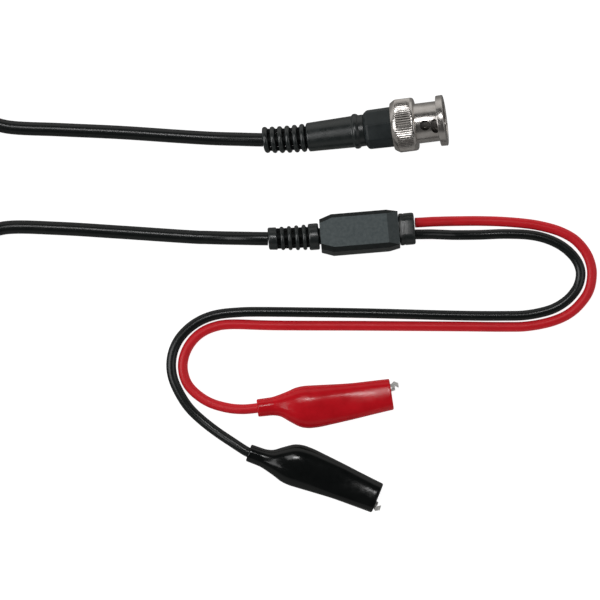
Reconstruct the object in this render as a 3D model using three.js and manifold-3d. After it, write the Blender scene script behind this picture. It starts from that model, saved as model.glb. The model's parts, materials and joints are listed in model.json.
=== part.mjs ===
// A test lead lying on a bench: a bayonet plug on a coaxial cable, a splitter block, and two
// single-core leads that end in spring clips inside soft boots. Millimetres, +Z up, the bench at
// z = 0 and the origin on the bench below the middle of the plug, splitter and clips.
import * as THREE from 'three';
import { mergeVertices } from 'three/addons/utils/BufferGeometryUtils.js';
import Module from 'manifold-3d';

const wasm = await Module();
wasm.setup();

// ---- Driving dimensions ----
const RUNNING_GAP = 0.1; // between turned pieces that fit in one another
const FACE_GAP = 0.3; // between pieces that meet face to face

const COAX_RADIUS = 1.85;
const COAX_CORE_RADIUS = 1.1; // inner insulation
const COAX_WIRE_RADIUS = 0.4;
const LEAD_RADIUS = 1.35;
const LEAD_WIRE_RADIUS = 0.6;

// Plug: distances run along its axis from the rear end of the bend relief.
const PLUG = { x: -22.65, y: 43.86, yaw: 7.0, sideways: 0.84, bendLength: 12.2 };
const RELIEF_REST = { at: 0.35, radius: 3.65 }; // the two rings that the plug lies on
const NUT_REST = { at: 36.9, radius: 7.25 };
const NUT = { start: 35.5, ringEnd: 42.0, sleeveEnd: 48.1, end: 50.0 };
const NUT_SLEEVE_RADIUS = 5.45;
const NUT_FLANGE_RADIUS = 6.93;
const NUT_BORE_RADIUS = 4.95;
const BODY_RADIUS = 4.35;
const FERRULE_RADIUS = 4.05;
const LOCK_HOLE = { at: 44.4, radius: 1.35, angle: 7 };
const WINDOW = { at: 47.3, halfLength: 1.3, halfWidth: 2.0, end: 48.05, angle: 13 };

// Splitter: distances run along its axis from the rear end of its bend relief.
const SPLITTER = { x: -21.3, y: 17.3, yaw: 4.75, roll: -10, sideways: 0.5, bendLength: 13.8 };
const BLOCK = { start: 14.2, end: 35.6, halfHeight: 4.2, chamfer: 1.2, slope: 3.0, wall: 1.0 };
const BLOCK_REST_HEIGHT = 4.85; // its axis above the bench when it leans on one edge
const LEAD_SPACING = 3.2;
const COLLAR_END = 39.9;

// Clips: distances run along the boot from its wire end.
const RED_CLIP = { x: -24.3, y: -28.27, yaw: 6.0 };
const BLACK_CLIP = { x: -26.7, y: -40.4, yaw: -19.57 };
const CLIP_HEIGHT = 3.9; // its axis above the bench
const CLIP_PIVOT = { x: 20, y: -0.5, radius: 0.6 };
const JAW_SHEET = 0.4;
const FIXED_JAW_WIDTH = 3.4;
const MOVING_JAW_WIDTH = 2.4;
const TOOTH_PITCH = 1.5;

// Coil of the cable between plug and splitter, beside the object.
const COIL = { x: -124.4, y: 34.6, inner: 11.5, outer: 27.8, height: 7.6 };
const TIE = { angle: 180, width: 6, thickness: 0.7 };

// ---- Materials ----
const paint = (color, roughness, metalness = 0) =>
  new THREE.MeshStandardMaterial({ color, roughness, metalness });
const BLACK_CABLE = paint(0x131718, 0.45);
const BLACK_RUBBER = paint(0x161817, 0.6);
const BLACK_MATTE = paint(0x454b4b, 0.8);
const BLACK_GLOSS = paint(0x101211, 0.15);
const RED_CABLE = paint(0xc1222a, 0.4);
const RED_GLOSS = paint(0xac1e27, 0.2);
const NICKEL = paint(0xa7a49e, 0.3, 1);
const STEEL = paint(0xb4b4b2, 0.25, 1);
const GOLD = paint(0xd0a85c, 0.25, 1);
const COPPER = paint(0xb87345, 0.35, 1);
const WHITE_INSULATION = paint(0xe9e7df, 0.5);
const SEAL_RUBBER = paint(0xb9b4a8, 0.7);

// ---- Solids ----
// A closed geometry as a solid that faces out, whichever way round its profile was drawn.
function solidOf(geometry) {
  const bare = new THREE.BufferGeometry();
  bare.setAttribute('position', geometry.getAttribute('position'));
  bare.setIndex(geometry.index);
  const merged = mergeVertices(bare, 1e-4);
  const make = (corners) => new wasm.Manifold(new wasm.Mesh({
    numProp: 3, vertProperties: merged.attributes.position.array, triVerts: corners,
  }));
  const corners = new Uint32Array(merged.index.array);
  const made = make(corners);
  return made.volume() < 0 ? make(corners.reverse()) : made;
}

function geometryOf(solid) {
  const { vertProperties, triVerts } = solid.simplify(0.002).getMesh();
  const geometry = new THREE.BufferGeometry();
  geometry.setAttribute('position', new THREE.BufferAttribute(vertProperties, 3));
  geometry.setIndex(new THREE.BufferAttribute(triVerts, 1));
  geometry.computeVertexNormals();
  return geometry;
}

function node(name, solid, material, parent) {
  const mesh = new THREE.Mesh(geometryOf(solid), material);
  mesh.name = name;
  parent.add(mesh);
  return mesh;
}

// A profile of [distance along X, radius] points turned round the X axis, as a geometry.
function turnedGeometry(profile, sides) {
  const points = profile.map(([along, radius]) => new THREE.Vector2(radius, along));
  return new THREE.LatheGeometry(points, sides).rotateZ(-Math.PI / 2);
}
const turned = (profile, sides = 28) => solidOf(turnedGeometry(profile, sides));

// A turned tube: the outside profile, and the bore as [distance, radius] points.
const sleeve = (outside, bore, sides = 28) =>
  turned([...outside, ...[...bore].reverse(), outside[0]], sides);

const rod = (from, to, radius, sides = 12) =>
  turned([[from, 0], [from, radius], [to, radius], [to, 0]], sides);

function block(x, y, z) {
  const size = [x[1] - x[0], y[1] - y[0], z[1] - z[0]];
  const middle = [x, y, z].map(([low, high]) => (low + high) / 2);
  return solidOf(new THREE.BoxGeometry(...size).translate(...middle));
}

// A plan outline in XY, extruded along Z and centred on z = 0.
function plate(points, thickness, bevel = 0) {
  const shape = new THREE.Shape(points.map(([x, y]) => new THREE.Vector2(x, y)));
  const depth = thickness - 2 * bevel;
  const settings = { depth, bevelEnabled: bevel > 0, bevelThickness: bevel, bevelSize: bevel,
    bevelOffset: -bevel, bevelSegments: 1 };
  return solidOf(new THREE.ExtrudeGeometry(shape, settings).translate(0, 0, -depth / 2));
}

// A tube along a smooth curve through hand-placed points.
function tube(points, radius, steps, sides = 8) {
  const round = new THREE.Shape();
  for (let i = 0; i < sides; i += 1) {
    const angle = (2 * Math.PI * i) / sides;
    const corner = [radius * Math.cos(angle), radius * Math.sin(angle)];
    if (i) round.lineTo(...corner);
    else round.moveTo(...corner);
  }
  const curve = new THREE.CatmullRomCurve3(points.map((p) => new THREE.Vector3(...p)));
  return solidOf(new THREE.ExtrudeGeometry(round, { extrudePath: curve, steps }));
}

// A turned piece whose first stretch leans sideways, most at its rear end.
function leaning(profile, { sideways, bendLength }, sides = 24) {
  const geometry = turnedGeometry(profile, sides);
  const place = geometry.getAttribute('position');
  for (let i = 0; i < place.count; i += 1) {
    const short = Math.max(0, bendLength - place.getX(i)) / bendLength;
    place.setY(i, place.getY(i) + sideways * short * short);
  }
  return solidOf(geometry);
}

const ringProfile = (from, to, inner, outer) =>
  [[from, inner], [from, outer], [to, outer], [to, inner], [from, inner]];

// ---- Plug ----
// Ribs of the bend reliefs, as profile points: rings of the outer radius with the core between.
function ribProfile(first, count, pitch, width, radiusAt, coreRadius) {
  const points = [];
  for (let i = 0; i < count; i += 1) {
    const middle = first + i * pitch;
    const radius = radiusAt(middle);
    points.push([middle - width / 2, coreRadius], [middle - width / 2 + 0.2, radius],
      [middle + width / 2 - 0.2, radius], [middle + width / 2, coreRadius]);
  }
  return points;
}

function plugBendRelief(parent) {
  const ribs = ribProfile(0.8, 6, 2.02, 1.3, (x) => 3.6 + 0.026 * x, 2.6);
  const outside = [[0, 2.6], ...ribs, [12.0, 2.6], [12.3, 3.9], [24.8, 4.3], [25.1, 4.75], [25.7, 4.8],
    [26.3, 4.55], [26.5, 4.3], [27.75, 4.3]];
  const bore = [[0, 1.95], [6, 1.95], [12.2, 1.95], [21.4, 1.95], [21.6, 2.7], [27.75, 2.7]];
  node('plug_bend_relief', leaning([...outside, ...bore.reverse(), outside[0]], PLUG, 18),
    BLACK_RUBBER, parent);
}

function plugGripCollar(parent) {
  const octagon = turned([[28.0, 0], [28.0, 4.5], [28.7, 5.15], [29.6, 5.62], [35.3, 5.84],
    [35.45, 5.7], [35.45, 0]], 8);
  const bore = turned([[27, 0], [27, 2.75], [30.6, 2.75], [30.8, 4.47], [36, 4.47], [36, 0]], 32);
  node('plug_grip_collar', octagon.rotate([22.5, 0, 0]).subtract(bore), BLACK_MATTE, parent);
}

function plugBody(parent) {
  const outside = [[27.0, 1.8], [30.95, 1.8], [31.1, BODY_RADIUS], [35.7, BODY_RADIUS], [35.72, 4.05],
    [36.33, 4.05], [36.35, BODY_RADIUS], [39.6, BODY_RADIUS], [39.62, 4.8], [40.9, 4.8],
    [40.92, FERRULE_RADIUS], [48.2, FERRULE_RADIUS], [48.5, 3.85]];
  const bore = [[27.0, 1.2], [33.4, 1.2], [33.5, 2.45], [41.2, 2.45], [41.4, 3.5], [48.5, 3.5]];
  let body = sleeve(outside, bore, 28);
  for (const angle of [45, 135]) {
    const slot = block([42.4, 49], [-5, 5], [-0.22, 0.22]);
    body = body.subtract(slot.rotate([angle, 0, 0]));
  }
  node('plug_body', body, NICKEL, parent);
}

function plugInsides(parent) {
  const stub = [[0.02, 0], [0.02, COAX_RADIUS], [4, COAX_RADIUS], [8, COAX_RADIUS],
    [12.2, COAX_RADIUS], [26.6, COAX_RADIUS], [26.6, COAX_CORE_RADIUS], [33.3, COAX_CORE_RADIUS],
    [33.3, COAX_WIRE_RADIUS], [36.2, COAX_WIRE_RADIUS], [36.2, 0]];
  node('cable_end_in_plug', leaning(stub, PLUG, 16), BLACK_CABLE, parent);
  const crimp = sleeve([[22.0, 2.6], [30.5, 2.6]],
    [[22.0, 1.92], [30.5, 1.92]], 20);
  node('plug_crimp_ferrule', crimp, NICKEL, parent);
  const dielectric = sleeve([[33.7, 2.35], [43.5, 2.35]],
    [[33.7, 1.1], [38.1, 1.1], [38.2, 0.78], [43.5, 0.78]], 20);
  node('plug_dielectric', dielectric, WHITE_INSULATION, parent);
  const pin = turned([[34.0, 0.5], [34.0, 1.0], [37.9, 1.0], [38.1, 0.675], [47.4, 0.675],
    [47.9, 0.45], [48.05, 0], [36.5, 0], [36.5, 0.5], [34.0, 0.5]], 16);
  node('plug_centre_pin', pin, GOLD, parent);
  node('plug_gasket', turned(ringProfile(41.0, 41.8, 4.12, 4.75)), SEAL_RUBBER, parent);
}

// A split ring in a groove of the body, which the nut's rear wall rests on.
function retainingRing(parent) {
  const ring = turned(ringProfile(35.78, 36.28, 4.12, 4.85), 24);
  const split = block([35, 37], [-0.8, 0.8], [-6, -3]);
  node('nut_retaining_ring', ring.subtract(split), STEEL, parent);
}

function nutWashers(parent) {
  node('nut_thrust_washer', turned(ringProfile(37.72, 38.0, 4.46, 4.82), 28), STEEL, parent);
  const wave = { middle: 38.8, swing: 0.5, thickness: 0.24 };
  const low = wave.middle - wave.thickness / 2;
  const geometry = turnedGeometry(ringProfile(low, low + wave.thickness, 4.48, 4.8), 36);
  const place = geometry.getAttribute('position');
  for (let i = 0; i < place.count; i += 1) {
    const around = Math.atan2(place.getZ(i), place.getY(i));
    place.setX(i, place.getX(i) + wave.swing * Math.cos(3 * around));
  }
  node('nut_wave_washer', solidOf(geometry), STEEL, parent);
}

// One of the nut's two bayonet ways: an entry from the front face, a ramp, a lock hole and a window.
function bayonetWay(nut) {
  const depth = [4.0, NUT_BORE_RADIUS + 0.25]; // the groove's floor stays inside the sleeve's wall
  const cutAt = (solid, angle) => nut.subtract(solid.rotate([angle, 0, 0]));
  const entryAngle = 80;
  nut = cutAt(block([46.6, 51], [-1.15, 1.15], depth), entryAngle);
  const rampSteps = 6;
  for (let i = 1; i < rampSteps; i += 1) {
    const share = i / rampSteps;
    const along = THREE.MathUtils.lerp(46.9, LOCK_HOLE.at, share);
    const angle = THREE.MathUtils.lerp(entryAngle, LOCK_HOLE.angle, share);
    nut = cutAt(block([along - 1.15, along + 1.15], [-1.1, 1.1], depth), angle);
  }
  const hole = new THREE.CylinderGeometry(LOCK_HOLE.radius, LOCK_HOLE.radius, 4, 16);
  hole.rotateX(Math.PI / 2).translate(LOCK_HOLE.at, 0, 5.6);
  nut = cutAt(solidOf(hole), LOCK_HOLE.angle);
  const oval = new THREE.CylinderGeometry(1, 1, 2, 24);
  oval.rotateX(Math.PI / 2).scale(WINDOW.halfLength, WINDOW.halfWidth, 1);
  const beforeFlange = block([44, WINDOW.end], [-3, 3], [4, 7]);
  return cutAt(solidOf(oval.translate(WINDOW.at, 0, 5.2)).intersect(beforeFlange), WINDOW.angle);
}

function couplingNut(parent) {
  const outside = [[NUT.start, 6.45], [36.0, 6.9], [36.9, 7.25], [41.2, 7.25], [NUT.ringEnd, 6.9],
    [NUT.ringEnd + 0.02, NUT_SLEEVE_RADIUS], [NUT.sleeveEnd - 0.02, NUT_SLEEVE_RADIUS],
    [NUT.sleeveEnd, 6.75], [48.35, NUT_FLANGE_RADIUS], [49.75, NUT_FLANGE_RADIUS], [NUT.end, 6.7]];
  const bore = [[NUT.start, 5.0], [36.38, 5.0], [36.4, 4.45], [37.6, 4.45], [37.62, NUT_BORE_RADIUS],
    [49.7, NUT_BORE_RADIUS], [NUT.end, 5.2]];
  let nut = sleeve(outside, bore, 36);
  for (const turn of [0, 180]) {
    nut = bayonetWay(nut.rotate([-turn, 0, 0])).rotate([turn, 0, 0]);
  }
  node('nut', nut, NICKEL, parent);
}

// The plug lies with its nut and the tail of its bend relief on the bench, so its nose is raised.
function makePlug() {
  const reach = NUT_REST.at - RELIEF_REST.at;
  const pitch = Math.asin((NUT_REST.radius - RELIEF_REST.radius) / reach);
  const height = RELIEF_REST.radius * Math.cos(pitch) - RELIEF_REST.at * Math.sin(pitch);
  const plug = new THREE.Group();
  plug.position.set(PLUG.x, PLUG.y, height + 0.03);
  plug.rotation.set(0, -pitch, THREE.MathUtils.degToRad(PLUG.yaw), 'ZYX');
  [plugBendRelief, plugGripCollar, plugBody, plugInsides, retainingRing, nutWashers, couplingNut]
    .forEach((make) => make(plug));
  return plug;
}

// ---- Splitter ----
const mirrored = (upper) => [...upper, ...upper.map(([x, y]) => [x, -y]).reverse()];

// The block: its long edges are chamfered, its rear end is cut square, and its front end slopes.
function blockOutside() {
  const { start, end, halfHeight, chamfer, slope } = BLOCK;
  const plan = mirrored([[start - 2, 3.4], [17.5, 5.25], [32.6, 5.25], [end + 2, 4.17]]);
  const profile = mirrored([[start, halfHeight], [end - slope, halfHeight], [end, halfHeight - chamfer]]);
  const sideways = plate(profile, 12).rotate([90, 0, 0]);
  return plate(plan, 2 * halfHeight, chamfer).intersect(sideways);
}

// A flat-sided slot outline with round ends, along Y, standing across the X axis.
function stadium(halfWidth, halfHeight, from, to, holes = []) {
  const straight = halfWidth - halfHeight;
  const shape = new THREE.Shape();
  shape.absarc(straight, 0, halfHeight, -Math.PI / 2, Math.PI / 2);
  shape.absarc(-straight, 0, halfHeight, Math.PI / 2, (3 * Math.PI) / 2);
  for (const [centre, radius] of holes) {
    shape.holes.push(new THREE.Path().absarc(centre, 0, radius, 0, 2 * Math.PI));
  }
  const solid = new THREE.ExtrudeGeometry(shape,
    { depth: to - from, bevelEnabled: false, curveSegments: 8 });
  return solidOf(solid.rotateX(Math.PI / 2).rotateZ(Math.PI / 2).translate(from, 0, 0));
}

function splitterShells(parent) {
  const { start, end, halfHeight, wall } = BLOCK;
  const plan = mirrored([[start + wall, 3.1], [17.8, 4.25], [32.3, 4.25], [end - 2.2, 4.0]]);
  const cavity = plate(plan, 2 * (halfHeight - wall));
  const tail = rod(start - 1, start + 2, 2.3, 20);
  const mouth = stadium(3.68, 2.05, end - 3, end + 1);
  const hollow = blockOutside().subtract(cavity).subtract(tail).subtract(mouth);
  const half = (low, high) => block([start - 1, end + 1], [-7, 7], [low, high]);
  node('splitter_upper_shell', hollow.intersect(half(0.04, 6)), BLACK_MATTE, parent);
  node('splitter_lower_shell', hollow.intersect(half(-6, -0.04)), BLACK_MATTE, parent);
}

function splitterBendRelief(parent) {
  const ribs = ribProfile(3.8, 4, 2.0, 1.3, (x) => 3.05 + 0.045 * x, 2.55);
  const outside = [[0, 2.75], [0.3, 3.05], [2.15, 3.05], [2.35, 2.55], ...ribs, [11.0, 2.55],
    [11.2, 3.5], [11.5, 3.6], [13.6, 3.6], [13.8, 3.4], [13.82, 2.2], [15.35, 2.2], [15.37, 2.8],
    [16.3, 2.8]];
  const bore = [[0, 1.95], [4, 1.95], [9, 1.95], [13.8, 1.95], [16.3, 1.95]];
  node('splitter_bend_relief', leaning([...outside, ...bore.reverse(), outside[0]], SPLITTER, 18),
    BLACK_RUBBER, parent);
}

function splitterLeadCollar(parent) {
  const halfSpacing = LEAD_SPACING / 2;
  const holes = [-halfSpacing, halfSpacing].map((centre) => [centre, LEAD_RADIUS + 0.12]);
  const { end } = BLOCK;
  const outer = stadium(4.4, 2.8, end + 0.1, COLLAR_END, holes);
  const neck = stadium(3.55, 1.92, end - 1.3, end + 0.6, holes);
  node('splitter_lead_collar', outer.add(neck), BLACK_RUBBER, parent);
}

function splitterWiring(parent) {
  const stub = [[0.02, 0], [0.02, COAX_RADIUS], [4, COAX_RADIUS], [9, COAX_RADIUS],
    [13.8, COAX_RADIUS], [18.6, COAX_RADIUS], [18.6, COAX_CORE_RADIUS], [20.8, COAX_CORE_RADIUS],
    [20.8, 0]];
  node('cable_end_in_splitter', leaning(stub, SPLITTER, 16), BLACK_CABLE, parent);
  const half = LEAD_SPACING / 2;
  node('core_wire', tube([[20.95, 0, 0], [22.4, 0.4, 0], [23.8, 1.5, 0], [25.0, half, 0],
    [26.6, half, 0]], COAX_WIRE_RADIUS, 10), COPPER, parent);
  node('braid_pigtail', tube([[18.9, -1.5, 0], [21, -half, 0], [23, -half, 0], [26.6, -half, 0]],
    COAX_WIRE_RADIUS, 8), COPPER, parent);
  for (const [colour, side, material] of [['red', 1, RED_CABLE], ['black', -1, BLACK_CABLE]]) {
    const splice = sleeve([[24.6, 1.15], [30.4, 1.15]], [[24.6, 0.72], [30.4, 0.72]], 12);
    node(`${colour}_splice`, splice.translate([0, side * half, 0]), STEEL, parent);
    const tail = turned([[27.4, 0], [27.4, LEAD_WIRE_RADIUS], [31, LEAD_WIRE_RADIUS],
      [31, LEAD_RADIUS], [COLLAR_END - 0.02, LEAD_RADIUS], [COLLAR_END - 0.02, 0]], 14);
    node(`${colour}_lead_tail`, tail.translate([0, side * half, 0]), material, parent);
  }
}

function makeSplitter() {
  const splitter = new THREE.Group();
  splitter.position.set(SPLITTER.x, SPLITTER.y, BLOCK_REST_HEIGHT);
  const { degToRad } = THREE.MathUtils;
  splitter.rotation.set(degToRad(SPLITTER.roll), 0, degToRad(SPLITTER.yaw), 'ZYX');
  [splitterShells, splitterBendRelief, splitterLeadCollar, splitterWiring]
    .forEach((make) => make(splitter));
  return splitter;
}

// ---- Clips ----
// The soft boot: how far it reaches above, below and beside its axis, and its wall, from its wire
// end to its mouth.
const BOOT_STATIONS = [
  { along: 0, above: 2.4, below: 2.4, beside: 2.35, wall: 0.85 },
  { along: 4.4, above: 2.6, below: 2.5, beside: 2.4, wall: 0.85 },
  { along: 6.0, above: 2.95, below: 2.95, beside: 2.7, wall: 0.75 },
  { along: 8.5, above: 3.65, below: 4.7, beside: 3.3, wall: 0.7 },
  { along: 11.0, above: 4.45, below: 6.3, beside: 3.75, wall: 0.7 },
  { along: 13.2, above: 4.68, below: 6.9, beside: 3.88, wall: 0.7 },
  { along: 15.5, above: 4.6, below: 6.95, beside: 3.88, wall: 0.7 },
  { along: 20, above: 4.35, below: 6.5, beside: 3.6, wall: 0.7 },
  { along: 26, above: 4.07, below: 5.75, beside: 3.3, wall: 0.7 },
  { along: 31.5, above: 4.08, below: 4.95, beside: 3.2, wall: 0.7 },
  { along: 36.7, above: 4.12, below: 4.25, beside: 3.3, wall: 0.7 },
];
const BOOT_SQUARENESS = 2.6; // exponent of the rounded-square section

function makeBoot() {
  const outer = BOOT_STATIONS.map((s) => [s.along, 2]);
  const inner = BOOT_STATIONS.map((s) => [s.along, 1]);
  const geometry = turnedGeometry([...outer, ...inner.reverse(), outer[0]], 20);
  const place = geometry.getAttribute('position');
  for (let i = 0; i < place.count; i += 1) {
    const [x, y, z] = [place.getX(i), place.getY(i), place.getZ(i)];
    const station = BOOT_STATIONS.find((s) => Math.abs(s.along - x) < 0.01);
    const trim = Math.hypot(y, z) > 1.5 ? 0 : station.wall;
    const angle = Math.atan2(z, y);
    const rounded = (part) => Math.sign(part) * Math.abs(part) ** (2 / BOOT_SQUARENESS);
    const height = (station.above + station.below) / 2 - trim;
    const centre = (station.above - station.below) / 2;
    place.setY(i, centre + height * rounded(Math.cos(angle)));
    place.setZ(i, (station.beside - trim) * rounded(Math.sin(angle)));
  }
  return solidOf(geometry);
}

// The toothed edge of a jaw, from its tip backwards: each tooth is a step to its tip and its root.
function teeth(tipAlong, tipHeight, rootHeight, count) {
  const points = [];
  for (let i = 0; i < count; i += 1) {
    const along = tipAlong - i * TOOTH_PITCH;
    points.push([along, tipHeight], [along - TOOTH_PITCH * 0.75, rootHeight]);
  }
  return points;
}

const across = (radius, halfWidth, sides) => {
  const { x, y } = CLIP_PIVOT;
  const pin = new THREE.CylinderGeometry(radius, radius, 2 * halfWidth, sides);
  return solidOf(pin.rotateX(Math.PI / 2).translate(x, y, 0));
};

// The fixed jaw: a folded channel with ears for the pivot, and a strap to its crimp barrel.
function fixedJaw() {
  const side = [[14.0, 2.7], [36.9, 2.7], [37.7, 3.35], [38.8, 2.8], ...teeth(38.8, 1.5, 2.2, 6),
    [28.4, 1.6], [24, 0.6], [22.2, -1.4], [20, -2.2], [18, -1.4], [16, 0.9], [13.6, 1.8]];
  const hollow = [[12, -4], [12, 2.3], [36.9, 2.3], [37.7, 2.85], [38.25, 2.4], [38.25, -4]];
  const channel = plate(side, FIXED_JAW_WIDTH).subtract(plate(hollow, FIXED_JAW_WIDTH - 2 * JAW_SHEET));
  const strap = plate([[7.4, 0.85], [10.2, 0.85], [12.4, 2.4], [14.6, 2.42], [14.6, 2.78], [12.2, 2.75],
    [10.0, 1.25], [7.4, 1.25]], 2.2);
  const barrel = sleeve([[7.3, 1.25], [10.3, 1.25]], [[7.3, 0.78], [10.3, 0.78]], 14);
  return channel.add(strap).add(barrel).subtract(across(CLIP_PIVOT.radius + 0.08, 3, 16));
}

// The moving jaw: a narrower channel that closes inside the fixed one, with a lever for the thumb.
function movingJaw() {
  const side = [[37.8, 0.9], ...teeth(37.8, 2.05, 1.35, 6), [28, 1.5], [22, 1.0], [20.8, 0.9],
    [18.6, 0.2], [17.2, -1.3], [12.2, -4.3], [11.5, -4.9], [12.0, -5.4], [19, -2.6], [21, -2.5],
    [24, -2.0], [30, -0.6]];
  const hollow = [[37.4, 3], [37.4, 1.3], [30, -0.2], [24, -1.6], [21, -2.1], [19.2, -2.2],
    [11.9, -5.0], [9, -4], [14, 3]];
  const channel = plate(side, MOVING_JAW_WIDTH)
    .subtract(plate(hollow, MOVING_JAW_WIDTH - 2 * JAW_SHEET));
  return channel.subtract(across(CLIP_PIVOT.radius + 0.1, 3, 16));
}

function pivotRivet() {
  const shank = across(CLIP_PIVOT.radius, 2.1, 16);
  const head = across(1.15, 0.2, 16);
  const reach = FIXED_JAW_WIDTH / 2 + 0.07 + 0.2;
  return shank.add(head.translate([0, 0, reach])).add(head.translate([0, 0, -reach]));
}

// The torsion spring round the rivet: one leg under the fixed jaw's back, one on the lever.
function jawSpring() {
  const { x, y } = CLIP_PIVOT;
  const coil = { radius: 1.0, turns: 2.6, pitch: 0.42, steps: 22 };
  const points = [[14.8, 2.1, 0.55], [17.6, 1.3, 0.55]];
  for (let i = 0; i <= coil.steps; i += 1) {
    const share = i / coil.steps;
    const angle = THREE.MathUtils.degToRad(110) - 2 * Math.PI * coil.turns * share;
    points.push([x + coil.radius * Math.cos(angle), y + coil.radius * Math.sin(angle),
      0.55 - coil.pitch * coil.turns * share]);
  }
  points.push([17.2, -2.2, -0.54], [14.4, -3.45, -0.54]);
  return tube(points, 0.17, 40, 5);
}

function makeClip(colour, place, mirrored, bootMaterial) {
  const clip = new THREE.Group();
  clip.position.set(place.x, place.y, CLIP_HEIGHT);
  clip.rotation.z = THREE.MathUtils.degToRad(place.yaw);
  if (mirrored) clip.scale.y = -1;
  node(`${colour}_clip_boot`, makeBoot(), bootMaterial, clip);
  node(`${colour}_clip_fixed_jaw`, fixedJaw(), STEEL, clip);
  node(`${colour}_clip_moving_jaw`, movingJaw(), STEEL, clip);
  node(`${colour}_clip_rivet`, pivotRivet(), STEEL, clip);
  node(`${colour}_clip_spring`, jawSpring(), STEEL, clip);
  node(`${colour}_crimped_wire`, rod(6.7, 10.2, LEAD_WIRE_RADIUS), COPPER, clip);
  return clip;
}

// ---- Cords ----
// Routes on the bench, point by point along each cord.
const ON_BENCH = { coax: COAX_RADIUS + 0.03, lead: LEAD_RADIUS + 0.03 };

const COAX_FROM_PLUG = [
  [-23.25, 44.7, 3.5], [-26, 44.77, 3.25], [-29, 44.88, 2.8], [-33, 45.0, 2.2],
  [-38, 45.2, ON_BENCH.coax], [-46, 45.7, ON_BENCH.coax], [-61.7, 46.75, ON_BENCH.coax],
  [-78, 47.5, ON_BENCH.coax], [-92, 48.2, ON_BENCH.coax], [-98.6, 50.4, ON_BENCH.coax],
];
const COAX_FROM_SPLITTER = [
  [-21.6, 17.78, 4.85], [-24.5, 17.82, 4.75], [-28, 17.9, 4.0], [-33, 18.0, 2.7],
  [-38, 18.15, 2.0], [-43, 18.35, ON_BENCH.coax], [-61.7, 19.6, ON_BENCH.coax],
  [-78, 20.6, ON_BENCH.coax], [-92, 20.9, ON_BENCH.coax], [-98.6, 18.9, ON_BENCH.coax],
];
const RED_LEAD = [
  [18.75, 22.16, 4.5], [20.7, 22.25, 4.3], [23.2, 22.41, 3.7], [26.4, 22.52, 2.7],
  [29.7, 22.6, 1.8], [36.2, 22.65, ON_BENCH.lead], [42.8, 22.44, ON_BENCH.lead],
  [49.3, 21.87, ON_BENCH.lead], [53.9, 21.05, ON_BENCH.lead], [58.2, 19.75, ON_BENCH.lead],
  [61.9, 17.75, ON_BENCH.lead], [64.6, 14.95, ON_BENCH.lead], [66.2, 11.9, ON_BENCH.lead],
  [66.85, 8.35, ON_BENCH.lead], [66.15, 4.0, ON_BENCH.lead], [64.0, 0.5, ON_BENCH.lead],
  [60.6, -2.6, ON_BENCH.lead], [55.8, -4.75, ON_BENCH.lead], [49.3, -6.02, ON_BENCH.lead],
  [42.8, -6.2, ON_BENCH.lead], [29.7, -6.08, ON_BENCH.lead], [3.6, -5.9, ON_BENCH.lead],
  [-19.3, -5.8, ON_BENCH.lead], [-31.2, -5.5, ON_BENCH.lead], [-36.1, -6.2, ON_BENCH.lead],
  [-39.9, -8.0, ON_BENCH.lead], [-42.6, -10.75, ON_BENCH.lead], [-44.25, -14.2, ON_BENCH.lead],
  [-44.6, -17.8, ON_BENCH.lead], [-43.5, -21.5, ON_BENCH.lead], [-41.0, -24.4, 1.5],
  [-37.2, -26.85, 1.9], [-32.4, -28.25, 2.8], [-28.2, -28.6, 3.6], [-24.3, -28.27, 3.9],
  [-21.4, -27.96, 3.9], [-17.9, -27.6, 3.9],
];
const BLACK_LEAD = [
  [18.75, 18.95, 5.1], [20.7, 18.98, 4.85], [23.2, 19.0, 4.2], [26.4, 18.9, 3.0],
  [29.7, 18.82, 1.9], [36.2, 18.88, ON_BENCH.lead], [42.8, 19.12, ON_BENCH.lead],
  [49.3, 18.9, ON_BENCH.lead], [53.9, 18.0, ON_BENCH.lead], [57.7, 16.4, ON_BENCH.lead],
  [60.6, 14.3, ON_BENCH.lead], [62.75, 11.7, ON_BENCH.lead], [63.75, 8.8, ON_BENCH.lead],
  [63.35, 5.7, ON_BENCH.lead], [61.95, 3.1, ON_BENCH.lead], [59.4, 0.55, ON_BENCH.lead],
  [55.4, -1.6, ON_BENCH.lead], [49.3, -2.95, ON_BENCH.lead], [42.8, -3.2, ON_BENCH.lead],
  [29.7, -3.1, ON_BENCH.lead], [3.6, -2.45, ON_BENCH.lead], [-22.5, -2.1, ON_BENCH.lead],
  [-30.4, -2.3, ON_BENCH.lead], [-35.6, -2.95, ON_BENCH.lead], [-39.6, -4.35, ON_BENCH.lead],
  [-43.0, -6.6, ON_BENCH.lead], [-45.7, -9.6, ON_BENCH.lead], [-47.3, -13.1, ON_BENCH.lead],
  [-47.8, -16.8, ON_BENCH.lead], [-47.2, -20.5, ON_BENCH.lead], [-45.4, -24.5, ON_BENCH.lead],
  [-42.95, -28.2, ON_BENCH.lead], [-39.7, -31.4, 1.6], [-35.6, -34.6, 2.3],
  [-31.2, -37.55, 3.3], [-26.87, -40.27, 3.9], [-24.1, -41.25, 3.9], [-20.9, -42.4, 3.9],
];

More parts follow.
